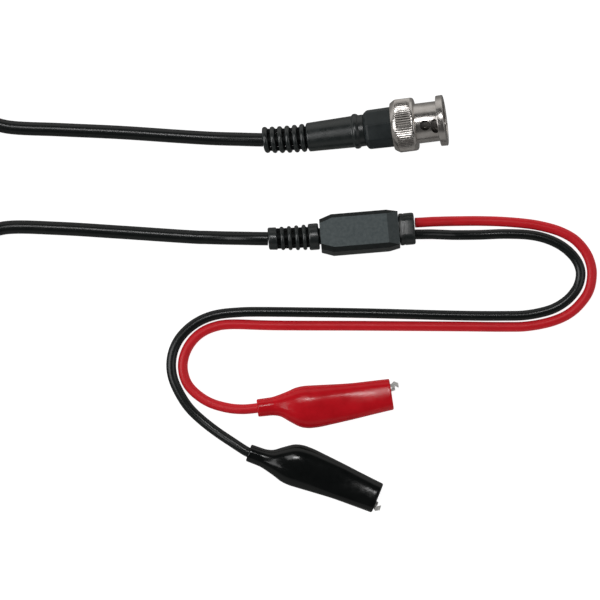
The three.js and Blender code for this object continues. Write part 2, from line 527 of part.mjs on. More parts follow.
function makeCords() {
  const cords = new THREE.Group();
  node('coax_from_plug', tube(COAX_FROM_PLUG, COAX_RADIUS, 9), BLACK_CABLE, cords);
  node('coax_from_splitter', tube(COAX_FROM_SPLITTER, COAX_RADIUS, 9), BLACK_CABLE, cords);
  node('red_lead', tube(RED_LEAD, LEAD_RADIUS, 40), RED_CABLE, cords);
  node('black_lead', tube(BLACK_LEAD, LEAD_RADIUS, 40), BLACK_CABLE, cords);

  // The coil's outer shape, narrowed below where its tie passes under it.
  const { inner, outer, height } = COIL;
  const hub = new THREE.Group();
  hub.position.set(COIL.x, COIL.y, 0);
  hub.rotation.z = THREE.MathUtils.degToRad(TIE.angle);
  cords.add(hub);
  const round = 0.9;
  const section = [[inner + round, 0], [outer - round, 0], [outer, round], [outer, height - round],
    [outer - round, height], [inner + round, height], [inner, height - round], [inner, round],
    [inner + round, 0]];
  const ring = new THREE.LatheGeometry(section.map(([r, z]) => new THREE.Vector2(r, z)), 32);
  const channelHeight = TIE.thickness + 0.15;
  const halfWidth = TIE.width / 2;
  const channel = block([inner - 2, outer + 2], [-halfWidth - 0.4, halfWidth + 0.4],
    [-1, channelHeight]);
  node('coax_coil', solidOf(ring.rotateX(Math.PI / 2)).subtract(channel), BLACK_CABLE, hub);
  const top = height + TIE.thickness + 0.1;
  const [near, far] = [inner - 0.6, outer + 0.2];
  const around = block([near - TIE.thickness, far + TIE.thickness], [-halfWidth, halfWidth],
    [0, top + TIE.thickness]);
  const tie = around.subtract(block([near, far], [-TIE.width, TIE.width], [TIE.thickness, top]));
  node('coil_tie', tie, BLACK_RUBBER, hub);
  return cords;
}

const lead = new THREE.Group();
lead.add(makePlug(), makeSplitter(), makeCords(),
  makeClip('red', RED_CLIP, false, RED_GLOSS), makeClip('black', BLACK_CLIP, true, BLACK_GLOSS));

export default lead;
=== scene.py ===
import json
import math

import bmesh
import bpy
import numpy as np
from mathutils import Matrix, Vector


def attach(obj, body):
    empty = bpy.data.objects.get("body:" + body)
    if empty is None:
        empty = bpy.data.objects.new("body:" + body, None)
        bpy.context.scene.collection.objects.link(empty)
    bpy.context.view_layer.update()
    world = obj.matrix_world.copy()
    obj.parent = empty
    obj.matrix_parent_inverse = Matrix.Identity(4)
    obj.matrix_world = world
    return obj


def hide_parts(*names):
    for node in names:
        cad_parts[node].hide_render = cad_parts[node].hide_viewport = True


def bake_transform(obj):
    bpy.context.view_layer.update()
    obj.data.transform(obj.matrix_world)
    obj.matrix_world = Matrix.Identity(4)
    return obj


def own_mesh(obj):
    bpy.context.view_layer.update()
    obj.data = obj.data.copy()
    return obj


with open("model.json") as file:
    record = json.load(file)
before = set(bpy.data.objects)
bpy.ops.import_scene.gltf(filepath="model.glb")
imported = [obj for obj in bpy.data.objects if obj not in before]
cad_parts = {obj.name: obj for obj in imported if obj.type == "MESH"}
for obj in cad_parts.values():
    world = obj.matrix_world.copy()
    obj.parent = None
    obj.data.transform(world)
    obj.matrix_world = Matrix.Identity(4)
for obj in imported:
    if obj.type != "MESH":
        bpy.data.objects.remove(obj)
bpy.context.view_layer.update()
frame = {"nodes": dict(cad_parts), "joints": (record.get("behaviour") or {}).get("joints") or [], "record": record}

# The test lead: a bayonet plug on a coaxial cable, a splitter, and two booted clips on their leads.
# Numbers are millimetres in each piece's own frame; MM turns them into the frame's metres.
MM = 0.001
UP = Vector((0, 0, 1))

COAX_RADIUS = 1.85
LEAD_RADIUS = 1.35
NUT_BORE = 4.95
SLEEVE_RADIUS = 5.45
BODY_RADIUS = 4.35
FERRULE_RADIUS = 4.05
LOCK_HOLE = {"at": 44.7, "radius": 1.38, "angle": 10}
PLUG_BEND = {"length": 12.2, "sideways": 0.84}
SPLITTER_BEND = {"length": 13.8, "sideways": 0.5}
RELIEF_BORE = 1.88
BLOCK_MIDDLE = {"above_underside": 4.2, "along": 25}
PLUG_JOINT_AT = 40  # where the nut's hinge stands along the plug
CLIP_PIVOT = (20, -0.5)


# ---- Frames of the sub-assemblies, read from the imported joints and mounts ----
def joint(name):
    return next(j for j in frame["joints"] if j["name"] == name)


def axes_matrix(x_axis, z_axis, origin):
    """A frame with the given X and Z directions, at origin (metres), that takes millimetres."""
    x_axis, z_axis = Vector(x_axis).normalized(), Vector(z_axis).normalized()
    y_axis = z_axis.cross(x_axis).normalized()
    z_axis = x_axis.cross(y_axis)
    turn = Matrix((x_axis, y_axis, z_axis)).transposed().to_4x4()
    return Matrix.Translation(Vector(origin)) @ turn @ Matrix.Scale(MM, 4)


def plug_matrix():
    turn = joint("nut_turn")
    axis = Vector(turn["axis"]).normalized()
    rear = Vector(turn["pos_m"]) - axis * PLUG_JOINT_AT * MM
    return axes_matrix(axis, UP, rear)


def splitter_matrix():
    base = next(m for m in frame["record"]["mounts"] if m["name"] == "splitter_underside")
    up = -Vector(base["axis"]).normalized()
    along = up.cross(UP).normalized()
    middle = Vector(base["pos_m"]) + up * BLOCK_MIDDLE["above_underside"] * MM
    return axes_matrix(along, up, middle - along * BLOCK_MIDDLE["along"] * MM)


def clip_matrix(colour, yaw, flip):
    pivot = Vector(joint(f"{colour}_jaw_open")["pos_m"])
    turn = Matrix.Rotation(math.radians(yaw), 4, "Z")
    mirror = Matrix.Scale(flip, 4, (0, 1, 0))
    wire_end = pivot - (turn @ mirror @ Vector((*CLIP_PIVOT, 0))) * MM
    return Matrix.Translation(wire_end) @ turn @ mirror @ Matrix.Scale(MM, 4)


PLUG = plug_matrix()
SPLITTER = splitter_matrix()
CLIPS = {"red": clip_matrix("red", 6.0, 1), "black": clip_matrix("black", -19.57, -1)}


# ---- Camera ----
# Straight above the lead. The view is centred a little left of the middle of the lead's box.
VIEW = {"x": -12.7, "y": 1.12, "height": 1600, "width_seen": 163.2, "seen_at": 4.0}


def make_camera():
    data = bpy.data.cameras.new("camera")
    data.sensor_width = 36
    data.lens = 36 * (VIEW["height"] - VIEW["seen_at"]) / VIEW["width_seen"]
    data.clip_start, data.clip_end = 0.01, 10
    camera = bpy.data.objects.new("camera", data)
    camera.location = (VIEW["x"] * MM, VIEW["y"] * MM, VIEW["height"] * MM)
    bpy.context.scene.collection.objects.link(camera)
    bpy.context.scene.camera = camera


make_camera()


# ---- Materials ----
class Nodes:
    """A material's node tree, with short calls for the nodes that the materials here share."""

    def __init__(self, name):
        self.material = bpy.data.materials.new(name)
        self.material.use_nodes = True
        self.tree = self.material.node_tree
        self.shader = self.tree.nodes["Principled BSDF"]
        self.place = self.tree.nodes.new("ShaderNodeTexCoord").outputs["Object"]

    def link(self, source, target):
        self.tree.links.new(source, target)

    def stretched(self, scale):
        mapping = self.tree.nodes.new("ShaderNodeMapping")
        mapping.inputs["Scale"].default_value = scale
        self.link(self.place, mapping.inputs["Vector"])
        return mapping.outputs["Vector"]

    def noise(self, size_mm, detail=3.0, scale=(1, 1, 1)):
        noise = self.tree.nodes.new("ShaderNodeTexNoise")
        noise.inputs["Scale"].default_value = 1 / (size_mm * MM)
        noise.inputs["Detail"].default_value = detail
        self.link(self.stretched(scale), noise.inputs["Vector"])
        return noise.outputs["Fac"]

    def spread(self, value, low, high, start=0.3, end=0.7):
        """Maps start..end of value onto low..high."""
        ramp = self.tree.nodes.new("ShaderNodeMapRange")
        for key, number in (("From Min", start), ("From Max", end), ("To Min", low), ("To Max", high)):
            ramp.inputs[key].default_value = number
        self.link(value, ramp.inputs["Value"])
        return ramp.outputs["Result"]

    def blend(self, value, low, high):
        """A colour between low and high by value."""
        mix = self.tree.nodes.new("ShaderNodeMix")
        mix.data_type = "RGBA"
        mix.inputs[6].default_value = (*low, 1)
        mix.inputs[7].default_value = (*high, 1)
        self.link(value, mix.inputs[0])
        return mix.outputs[2]

    def bump(self, value, depth_mm, strength=1.0):
        bump = self.tree.nodes.new("ShaderNodeBump")
        bump.inputs["Strength"].default_value = strength
        bump.inputs["Distance"].default_value = depth_mm * MM
        self.link(value, bump.inputs["Height"])
        self.link(bump.outputs["Normal"], self.shader.inputs["Normal"])

    def set(self, **values):
        for key, value in values.items():
            self.shader.inputs[key.replace("_", " ")].default_value = value


def plastic(name, dark, light, roughness, grain_mm, grain_depth, patch_mm=3.0, specular=0.5):
    """Moulded or extruded plastic: patches of two shades, fine grain, and uneven gloss."""
    nodes = Nodes(name)
    patches = nodes.noise(patch_mm, 4)
    nodes.link(nodes.blend(nodes.spread(patches, 0, 1), dark, light), nodes.shader.inputs["Base Color"])
    gloss = nodes.noise(patch_mm * 0.45, 5)
    low, high = roughness
    nodes.link(nodes.spread(gloss, low, high), nodes.shader.inputs["Roughness"])
    nodes.bump(nodes.noise(grain_mm, 2), grain_depth)
    nodes.set(Specular_IOR_Level=specular)
    return nodes.material


def metal(name, colour, dull, roughness, scratch_mm=0.25, scratch_depth=0.004):
    """Plated or bare metal: dull patches, uneven gloss and fine marks."""
    nodes = Nodes(name)
    patches = nodes.noise(1.8, 5)
    nodes.link(nodes.blend(nodes.spread(patches, 0, 1), dull, colour), nodes.shader.inputs["Base Color"])
    low, high = roughness
    nodes.link(nodes.spread(nodes.noise(0.7, 6), low, high), nodes.shader.inputs["Roughness"])
    nodes.bump(nodes.noise(scratch_mm, 4), scratch_depth)
    nodes.set(Metallic=1.0)
    return nodes.material


def stranded_copper():
    nodes = Nodes("stranded_copper")
    wave = nodes.tree.nodes.new("ShaderNodeTexWave")
    wave.inputs["Scale"].default_value = 1 / (0.35 * MM)
    wave.inputs["Distortion"].default_value = 0.6
    nodes.link(nodes.place, wave.inputs["Vector"])
    nodes.link(nodes.blend(wave.outputs["Fac"], (0.36, 0.13, 0.06), (0.78, 0.4, 0.24)),
               nodes.shader.inputs["Base Color"])
    nodes.bump(wave.outputs["Fac"], 0.05)
    nodes.set(Metallic=1.0, Roughness=0.3)
    return nodes.material


def woven_tape():
    """Hook-and-loop tape: a woven back with a soft nap."""
    nodes = Nodes("woven_tape")
    weave = nodes.tree.nodes.new("ShaderNodeTexVoronoi")
    weave.inputs["Scale"].default_value = 1 / (0.45 * MM)
    nodes.link(nodes.place, weave.inputs["Vector"])
    nodes.link(nodes.blend(weave.outputs["Distance"], (0.03, 0.03, 0.032), (0.008, 0.008, 0.009)),
               nodes.shader.inputs["Base Color"])
    nodes.bump(weave.outputs["Distance"], 0.12)
    nodes.set(Roughness=0.9, Sheen_Weight=0.4, Sheen_Roughness=0.5)
    return nodes.material


def block_plastic_painted_bevel_shade():
    """The splitter's plastic: its flat faces are grained and matt, its bevels smooth and painted dark as shade, by
    how far each face tips from the block's top.
    """
    nodes = Nodes("block_plastic_painted_bevel_shade")
    up = SPLITTER.to_3x3() @ UP
    facing = nodes.tree.nodes.new("ShaderNodeVectorMath")
    facing.operation = "DOT_PRODUCT"
    facing.inputs[1].default_value = up.normalized()
    nodes.link(nodes.tree.nodes["Texture Coordinate"].outputs["Normal"], facing.inputs[0])
    flatness = nodes.tree.nodes.new("ShaderNodeMath")
    flatness.operation = "ABSOLUTE"
    nodes.link(facing.outputs["Value"], flatness.inputs[0])
    bevelled, flat = 0.86, 0.99  # cosines of a face's tilt from the block's top
    # Painted shade: the mask is 0 on faces tipped past the bevel cosine, which take the dark painted-shade colour
    # below, and 1 on the flat faces.
    grained = nodes.spread(flatness.outputs[0], 0, 1, bevelled, flat)
    grain = nodes.blend(nodes.spread(nodes.noise(0.8, 4), 0, 1),
                        (0.086, 0.106, 0.11), (0.12, 0.142, 0.146))
    # Painted shade on the bevels: a colour far darker than the flat faces' grain.
    bevel = nodes.blend(nodes.spread(nodes.noise(1.5, 3), 0, 1),
                        (0.009, 0.012, 0.012), (0.014, 0.018, 0.018))
    mix = nodes.tree.nodes.new("ShaderNodeMix")
    mix.data_type = "RGBA"
    nodes.link(grained, mix.inputs[0])
    nodes.link(bevel, mix.inputs[6])
    nodes.link(grain, mix.inputs[7])
    nodes.link(mix.outputs[2], nodes.shader.inputs["Base Color"])
    nodes.link(nodes.spread(grained, 0.42, 0.7, 0, 1), nodes.shader.inputs["Roughness"])
    nodes.bump(nodes.noise(0.3, 2), 0.03)
    nodes.set(Specular_IOR_Level=0.3)
    return nodes.material


BLACK_CABLE = plastic("black_cable", (0.003, 0.005, 0.005), (0.006, 0.008, 0.008), (0.24, 0.3),
                      2.5, 0.01, patch_mm=5, specular=0.55)
RED_CABLE = plastic("red_cable", (0.76, 0.014, 0.024), (0.84, 0.018, 0.03), (0.34, 0.42), 2.5, 0.01,
                    patch_mm=5, specular=0.35)
BLACK_RUBBER = plastic("black_rubber", (0.007, 0.011, 0.011), (0.013, 0.018, 0.018), (0.26, 0.36),
                       0.4, 0.01, specular=0.9)
# Painted shade: a matt, slightly darker copy of the black cable, for what lies inside the bend reliefs: the
# cable's ends and the reliefs' spines.
SHADED_CABLE = plastic("shaded_cable", (0.003, 0.004, 0.004), (0.006, 0.007, 0.007), (0.5, 0.6),
                       2.5, 0.01, specular=0.15)
COLLAR_PLASTIC = plastic("collar_plastic", (0.008, 0.013, 0.014), (0.016, 0.023, 0.025),
                         (0.36, 0.48), 0.2, 0.008, specular=0.6)
BLOCK_PLASTIC_PAINTED_BEVEL_SHADE = block_plastic_painted_bevel_shade()
BLACK_BOOT = plastic("black_boot", (0.003, 0.004, 0.004), (0.006, 0.007, 0.007), (0.1, 0.18), 1.6, 0.014,
                     specular=0.45)
RED_BOOT = plastic("red_boot", (0.66, 0.007, 0.015), (0.76, 0.01, 0.02), (0.14, 0.22), 1.6, 0.014,
                   specular=0.4)
NICKEL = metal("nickel", (0.82, 0.79, 0.76), (0.68, 0.64, 0.61), (0.16, 0.28))
# Painted shade: a much darker copy of the nickel for the plug body, so that its lock hole and slots look deep in
# shade.
SHADED_NICKEL = metal("shaded_nickel", (0.2, 0.19, 0.18), (0.12, 0.115, 0.11), (0.4, 0.55))
STEEL = metal("steel", (0.92, 0.91, 0.88), (0.76, 0.75, 0.72), (0.34, 0.48))
GOLD = metal("gold", (0.85, 0.62, 0.28), (0.7, 0.47, 0.18), (0.14, 0.24))
COPPER = stranded_copper()
INSULATION = plastic("white_insulation", (0.72, 0.71, 0.67), (0.82, 0.81, 0.77), (0.35, 0.5), 0.4, 0.004)
SEAL_RUBBER = plastic("seal_rubber", (0.36, 0.33, 0.28), (0.46, 0.43, 0.37), (0.55, 0.7), 0.3, 0.01)
TAPE = woven_tape()


# ---- Mesh tools ----
def finish_mesh(name, vertices, faces, matrix, material, body="root", sharp=32, slot=None):
    """Makes a piece of points in the sub-assembly's millimetres, and rides it on a body."""
    mesh = bpy.data.meshes.new(name)
    mesh.from_pydata([matrix @ Vector(v) for v in vertices], [], [tuple(f) for f in faces])
    tidy = bmesh.new()
    tidy.from_mesh(mesh)
    bmesh.ops.remove_doubles(tidy, verts=tidy.verts, dist=1e-7)
    bmesh.ops.recalc_face_normals(tidy, faces=tidy.faces)
    tidy.to_mesh(mesh)
    tidy.free()
    mesh.materials.append(material)
    mesh.polygons.foreach_set("use_smooth", [True] * len(mesh.polygons))
    mesh.set_sharp_from_angle(angle=math.radians(sharp))
    piece = bpy.data.objects.new(name, mesh)
    bpy.context.scene.collection.objects.link(piece)
    if body:
        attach(piece, body)
    return piece


def plain_object(shape):
    """A bare object of a shape, in millimetres."""
    vertices, faces = shape
    mesh = bpy.data.meshes.new("blank")
    mesh.from_pydata([tuple(v) for v in vertices], [], [tuple(f) for f in faces])
    tidy = bmesh.new()
    tidy.from_mesh(mesh)
    bmesh.ops.remove_doubles(tidy, verts=tidy.verts, dist=1e-4)
    bmesh.ops.recalc_face_normals(tidy, faces=tidy.faces)
    tidy.to_mesh(mesh)
    tidy.free()
    blank = bpy.data.objects.new("blank", mesh)
    bpy.context.scene.collection.objects.link(blank)
    return blank


def carve(shape, tools):
    """A closed shape with each of the tools cut out of it, as points and faces."""
    blank = plain_object(shape)
    cutters = [plain_object(tool) for tool in tools]
    for cutter in cutters:
        boolean = blank.modifiers.new("boolean", "BOOLEAN")
        boolean.operation, boolean.solver, boolean.object = "DIFFERENCE", "MANIFOLD", cutter
    bpy.context.view_layer.update()
    seen = blank.evaluated_get(bpy.context.evaluated_depsgraph_get()).to_mesh()
    vertices = [tuple(v.co) for v in seen.vertices]
    faces = [tuple(f.vertices) for f in seen.polygons]
    for used in [blank, *cutters]:
        mesh = used.data
        bpy.data.objects.remove(used)
        bpy.data.meshes.remove(mesh)
    return vertices, faces


def spun(shape, degrees):
    """A shape turned about the X axis."""
    vertices, faces = shape
    turn = Matrix.Rotation(math.radians(degrees), 4, "X")
    return [tuple(turn @ Vector(v)) for v in vertices], faces


def soft_corners(points, radius, steps=3):
    """Rounds the corners of a profile, each by up to radius."""
    made = [points[0]]
    for before, corner, after in zip(points, points[1:], points[2:]):
        before, corner, after = (np.array(p, float) for p in (before, corner, after))
        back, on = before - corner, after - corner
        reach = min(radius, 0.45 * np.linalg.norm(back), 0.45 * np.linalg.norm(on))
        start = corner + back / np.linalg.norm(back) * reach
        end = corner + on / np.linalg.norm(on) * reach
        for i in range(steps + 1):
            t = i / steps
            made.append(tuple((1 - t) ** 2 * start + 2 * t * (1 - t) * corner + t * t * end))
    made.append(points[-1])
    return made


def turned(profile, sides=64, radius_at=None):
    """Points and faces of a profile of (along, radius) turned round the X axis, closed on itself."""
    profile = list(profile)
    if profile[0] != profile[-1] and (profile[0][1] > 0 or profile[-1][1] > 0):
        profile.append(profile[0])
    vertices, faces = [], []
    for along, radius in profile:
        for k in range(sides):
            angle = 2 * math.pi * k / sides
            reach = radius if radius_at is None else radius_at(along, radius, angle)
            vertices.append((along, reach * math.cos(angle), reach * math.sin(angle)))
    for i in range(len(profile) - 1):
        for k in range(sides):
            j = (k + 1) % sides
            corners = [i * sides + k, i * sides + j, (i + 1) * sides + j, (i + 1) * sides + k]
            faces.append(corners)
    return vertices, faces


def leaning(vertices, bend):
    """Leans the first stretch of a turned shape sideways, most at its rear end."""
    moved = []
    for x, y, z in vertices:
        short = max(0.0, bend["length"] - x) / bend["length"]
        moved.append((x, y + bend["sideways"] * short * short, z))
    return moved


def box(x, y, z):
    vertices = [(a, b, c) for a in x for b in y for c in z]
    faces = [(0, 1, 3, 2), (4, 6, 7, 5), (0, 4, 5, 1), (2, 3, 7, 6), (0, 2, 6, 4), (1, 5, 7, 3)]
    return vertices, faces


def sweep(points, section):
    """Sweeps a section (across, up) along points, holding it level where the path is level."""
    points = [Vector(p) for p in points]
    vertices, faces = [], []
    count = len(section)
    side = None
    for i, point in enumerate(points):
        ahead = points[min(i + 1, len(points) - 1)] - points[max(i - 1, 0)]
        ahead.normalize()
        if side is None:
            side = UP.cross(ahead) if abs(ahead.z) < 0.9 else Vector((0, 1, 0)).cross(ahead)
        side = (side - ahead * side.dot(ahead)).normalized()
        lift = ahead.cross(side)
        vertices += [tuple(point + side * a + lift * b) for a, b in section]
    for i in range(len(points) - 1):
        for k in range(count):
            j = (k + 1) % count
            faces.append([i * count + k, i * count + j, (i + 1) * count + j, (i + 1) * count + k])
    faces.append(list(range(count)))
    faces.append(list(range(len(vertices) - 1, len(vertices) - 1 - count, -1)))
    return vertices, faces


def circle(radius, sides):
    return [(radius * math.cos(2 * math.pi * k / sides), radius * math.sin(2 * math.pi * k / sides))
            for k in range(sides)]


def smooth_path(points, step):
    """A Catmull-Rom curve through the points, resampled at an even step."""
    points = [np.array(p, float) for p in points]
    points = [2 * points[0] - points[1], *points, 2 * points[-1] - points[-2]]
    dense = []
    for a, b, c, d in zip(points, points[1:], points[2:], points[3:]):
        for t in np.linspace(0, 1, 12, endpoint=False):
            dense.append(0.5 * (2 * b + (c - a) * t + (2 * a - 5 * b + 4 * c - d) * t * t
                                + (3 * b - a - 3 * c + d) * t ** 3))
    dense = np.array([*dense, points[-2]])
    length = np.concatenate([[0], np.cumsum(np.linalg.norm(np.diff(dense, axis=0), axis=1))])
    even = np.linspace(0, length[-1], max(8, int(round(length[-1] / step))))
    return [tuple(np.interp(s, length, dense[:, k]) for k in range(3)) for s in even]


# ---- Cords ----
COAX_Z = COAX_RADIUS + 0.03
LEAD_Z = LEAD_RADIUS + 0.03
COAX_FROM_PLUG = [
    (-23.25, 44.7, 3.5), (-26, 44.77, 3.25), (-29, 44.88, 2.8), (-33, 45.0, 2.2),
    (-38, 45.2, COAX_Z), (-46, 45.7, COAX_Z), (-61.7, 46.75, COAX_Z), (-78, 47.5, COAX_Z),
    (-92, 48.2, COAX_Z), (-98.6, 50.4, COAX_Z),
]
COAX_FROM_SPLITTER = [
    (-21.42, 17.79, 4.77), (-24.5, 17.82, 4.6), (-28, 17.9, 4.0), (-33, 18.0, 2.7),
    (-38, 18.15, 2.0), (-43, 18.35, COAX_Z), (-61.7, 19.6, COAX_Z), (-78, 20.6, COAX_Z),
    (-92, 20.9, COAX_Z), (-98.6, 18.9, COAX_Z),
]
RED_LEAD = [
    (18.62, 22.155, 4.52), (20.7, 22.25, 4.3), (23.2, 22.41, 3.7), (26.4, 22.52, 2.7),
    (29.7, 22.6, 1.8), (36.2, 22.65, LEAD_Z), (42.8, 22.44, LEAD_Z), (49.3, 21.87, LEAD_Z),
    (53.9, 21.05, LEAD_Z), (58.2, 19.75, LEAD_Z), (61.9, 17.75, LEAD_Z), (64.6, 14.95, LEAD_Z),
    (66.2, 11.9, LEAD_Z), (66.85, 8.35, LEAD_Z), (66.15, 4.0, LEAD_Z), (64.0, 0.5, LEAD_Z),
    (60.6, -2.6, LEAD_Z), (55.8, -4.75, LEAD_Z), (49.3, -6.02, LEAD_Z), (42.8, -6.2, LEAD_Z),
    (29.7, -6.08, LEAD_Z), (3.6, -5.9, LEAD_Z), (-19.3, -5.8, LEAD_Z), (-31.2, -5.5, LEAD_Z),
    (-36.1, -6.2, LEAD_Z), (-39.9, -8.0, LEAD_Z), (-42.6, -10.75, LEAD_Z), (-44.25, -14.2, LEAD_Z),
    (-44.6, -17.8, LEAD_Z), (-43.5, -21.5, LEAD_Z), (-41.0, -24.4, 1.5), (-37.2, -26.85, 1.9),
    (-32.4, -28.25, 2.8), (-28.2, -28.6, 3.6), (-24.3, -28.27, 3.9), (-21.4, -27.96, 3.9),
    (-17.9, -27.6, 3.9),
]
BLACK_LEAD = [
    (18.62, 18.95, 5.12), (20.7, 18.98, 4.85), (23.2, 19.0, 4.2), (26.4, 18.9, 3.0),
    (29.7, 18.82, 1.9), (36.2, 18.88, LEAD_Z), (42.8, 19.12, LEAD_Z), (49.3, 18.9, LEAD_Z),
    (53.9, 18.0, LEAD_Z), (57.7, 16.4, LEAD_Z), (60.6, 14.3, LEAD_Z), (62.75, 11.7, LEAD_Z),
    (63.75, 8.8, LEAD_Z), (63.35, 5.7, LEAD_Z), (61.95, 3.1, LEAD_Z), (59.4, 0.55, LEAD_Z),
    (55.4, -1.6, LEAD_Z), (49.3, -2.95, LEAD_Z), (42.8, -3.2, LEAD_Z), (29.7, -3.1, LEAD_Z),
    (3.6, -2.45, LEAD_Z), (-22.5, -2.1, LEAD_Z), (-30.4, -2.3, LEAD_Z), (-35.6, -2.95, LEAD_Z),
    (-39.6, -4.35, LEAD_Z), (-43.0, -6.6, LEAD_Z), (-45.7, -9.6, LEAD_Z), (-47.3, -13.1, LEAD_Z),
    (-47.8, -16.8, LEAD_Z), (-47.2, -20.5, LEAD_Z), (-45.4, -24.5, LEAD_Z), (-42.95, -28.2, LEAD_Z),
    (-39.7, -31.4, 1.6), (-35.6, -34.6, 2.3), (-31.2, -37.55, 3.3), (-26.87, -40.27, 3.9),
    (-24.1, -41.25, 3.9), (-20.9, -42.4, 3.9),
]
COIL = {"x": -124.4, "y": 34.6, "outer": 25.75, "turn_gap": 3.78, "enter": 60, "leave": 300, "turns": 6}
TIE = {"angle": 180, "width": 6, "thickness": 0.7}


def coil_points():
    """Turns that run inwards on the bench and then outwards on top of them."""
    tie_reach = 9  # along the cable, where it rises over the tape
    start = math.radians(COIL["enter"])
    sweep_angle = 2 * math.pi * COIL["turns"] + math.radians(COIL["leave"] - COIL["enter"])
    steps = int(sweep_angle / math.radians(10))
    middle = sweep_angle / 2
    climb = math.radians(55)
    made = []
    for i in range(steps + 1):
        done = sweep_angle * i / steps
        angle = start + done
        inward = min(done, sweep_angle - done) / (2 * math.pi)
        radius = COIL["outer"] - COIL["turn_gap"] * inward
        rise = min(1, max(0, (done - middle + climb / 2) / climb))
        layer = (rise * rise * (3 - 2 * rise)) * (2 * COAX_RADIUS + 0.02)
        from_tie = math.remainder(angle - math.radians(TIE["angle"]), 2 * math.pi) * radius
        hump = (TIE["thickness"] + 0.12) * math.exp(-(from_tie / tie_reach) ** 2)
        made.append((COIL["x"] + radius * math.cos(angle), COIL["y"] + radius * math.sin(angle),
                     COAX_Z + layer + hump))
    return made


def coax_route():
    """From the plug to the coil, round it, and back to the splitter."""
    turns = coil_points()
    top = turns[-1][2]
    leaving = [(-105.8, 15.3, top - 1.5)]
    back = list(reversed(COAX_FROM_SPLITTER))
    return [(-22.8, 44.69, 3.62), *COAX_FROM_PLUG[1:], (-104.5, 53.3, COAX_Z), *turns, *leaving, *back]


def cord_piece(name, route, radius, material, step, sides, nodes, slot, **facts):
    path = smooth_path(route, step)
    vertices, faces = sweep(path, circle(radius, sides))
    piece = finish_mesh(name, vertices, faces, Matrix.Scale(MM, 4), material, sharp=50, slot=slot)
    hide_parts(*nodes)
    return piece


def make_cords():
    coax = coax_route()
    cord_piece("coax_cable", coax, COAX_RADIUS, BLACK_CABLE, 0.9, 24,
               ["coax_from_plug", "coax_coil", "coax_from_splitter"], "black_cable",
               far_end="object", stiffness="medium", lay="coiled")
    red = cord_piece("red_lead_wire", RED_LEAD, LEAD_RADIUS, RED_CABLE, 0.6, 24, ["red_lead"],
                     "red_cable", far_end="object", stiffness="limp", lay="loose")
    red.visible_glossy = False  # keeps red out of the black and metal parts' reflections
    cord_piece("black_lead_wire", BLACK_LEAD, LEAD_RADIUS, BLACK_CABLE, 0.6, 24, ["black_lead"],
               "black_cable", far_end="object", stiffness="limp", lay="loose")


make_cords()


# ---- Coil tie ----
def make_tie():
    """A loop of tape round the coil's bundle, closed where its two ends meet underneath."""
    turn = Matrix.Rotation(math.radians(TIE["angle"]), 4, "Z")
    matrix = Matrix.Translation((COIL["x"] * MM, COIL["y"] * MM, 0)) @ turn @ Matrix.Scale(MM, 4)
    near, far, top, thick = 10.9, 28.0, 8.35, TIE["thickness"]
    loop = [(near, 0.35), (far, 0.35), (far + 0.35, 4), (far, top + 0.3), (near, top + 0.3),
            (near - 0.35, 4), (near, 0.35)]
    line = soft_corners([(19, 0.35), *loop[1:6], (near, 0.35), (19, 0.35)], 2.2, 6)
    half = TIE["width"] / 2
    section = [(-half, -thick / 2), (half, -thick / 2), (half, thick / 2), (-half, thick / 2)]
    section = soft_corners([*section, section[0]], 0.2, 2)[:-1]
    vertices, faces = [], []
    count = len(section)
    for i, (x, z) in enumerate(line):
        before, after = line[max(i - 1, 0)], line[min(i + 1, len(line) - 1)]
        along = Vector((after[0] - before[0], 0, after[1] - before[1])).normalized()
        out = Vector((along.z, 0, -along.x))
        vertices += [tuple(Vector((x, a, z)) + out * b) for a, b in section]
    for i in range(len(line) - 1):
        for k in range(count):
            j = (k + 1) % count
            faces.append([i * count + k, i * count + j, (i + 1) * count + j, (i + 1) * count + k])
    tie = finish_mesh("coil_tie_tape", vertices, faces, matrix, TAPE, slot="black_rubber")
    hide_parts("coil_tie")


make_tie()


# ---- Plug ----
SPINE_CROWN = 0.45  # how much the top of a spine is rounded


def ring_profile(start, end, inner, outer, edge=0.08):
    """A plain ring with eased edges."""
    profile = [((start + end) / 2, inner), (start, inner), (start, outer), (end, outer), (end, inner),
               ((start + end) / 2, inner)]
    return soft_corners(profile, edge)


def lattice(name, matrix, bend, body_profile, rings, spine, material, bore, slot, node_name):
    """A bend relief: rings held apart by four thin spines over an open sleeve, and a solid head."""
    piece = finish_mesh(name, *bent(turned(soft_corners(body_profile, 0.25), 72), bend), matrix,
                        material, slot=slot)
    for at, radius, width in rings:
        arc = [(at + width / 2 * math.cos(t), radius - width / 2 + width / 2 * math.sin(t))
               for t in np.linspace(0, math.pi, 9)]
        profile = [(at + width / 2, bore), *arc, (at - width / 2, bore)]
        finish_mesh(f"{name}_ring_{at:.0f}", *bent(turned(profile, 72), bend), matrix, material,
                    slot=slot)
    start, end, height, width = spine
    for quarter in range(4):
        turn = Matrix.Rotation(math.pi / 2 * quarter, 4, "X")
        crown = [(width / 2 * math.cos(t), height - SPINE_CROWN * (1 - math.sin(t)))
                 for t in np.linspace(0, math.pi, 7)]
        section = [(-width / 2, bore), (width / 2, bore), *crown]
        count = len(section)
        vertices = []
        stations = np.linspace(start, end, 12)
        for x in stations:
            vertices += [tuple(turn @ Vector((x, a, b))) for a, b in section]
        faces = []
        for i in range(len(stations) - 1):
            for k in range(count):
                j = (k + 1) % count
                faces.append([i * count + k, i * count + j, (i + 1) * count + j, (i + 1) * count + k])
        faces += [list(range(count)), list(range(len(vertices) - 1, len(vertices) - 1 - count, -1))]
        # The spines take the matt, darker copy of the cable as painted shade.
        finish_mesh(f"{name}_spine_{quarter}", leaning(vertices, bend), faces, matrix, SHADED_CABLE,
                    slot=slot)
    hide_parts(node_name)


def bent(shape, bend):
    vertices, faces = shape
    return leaning(vertices, bend), faces


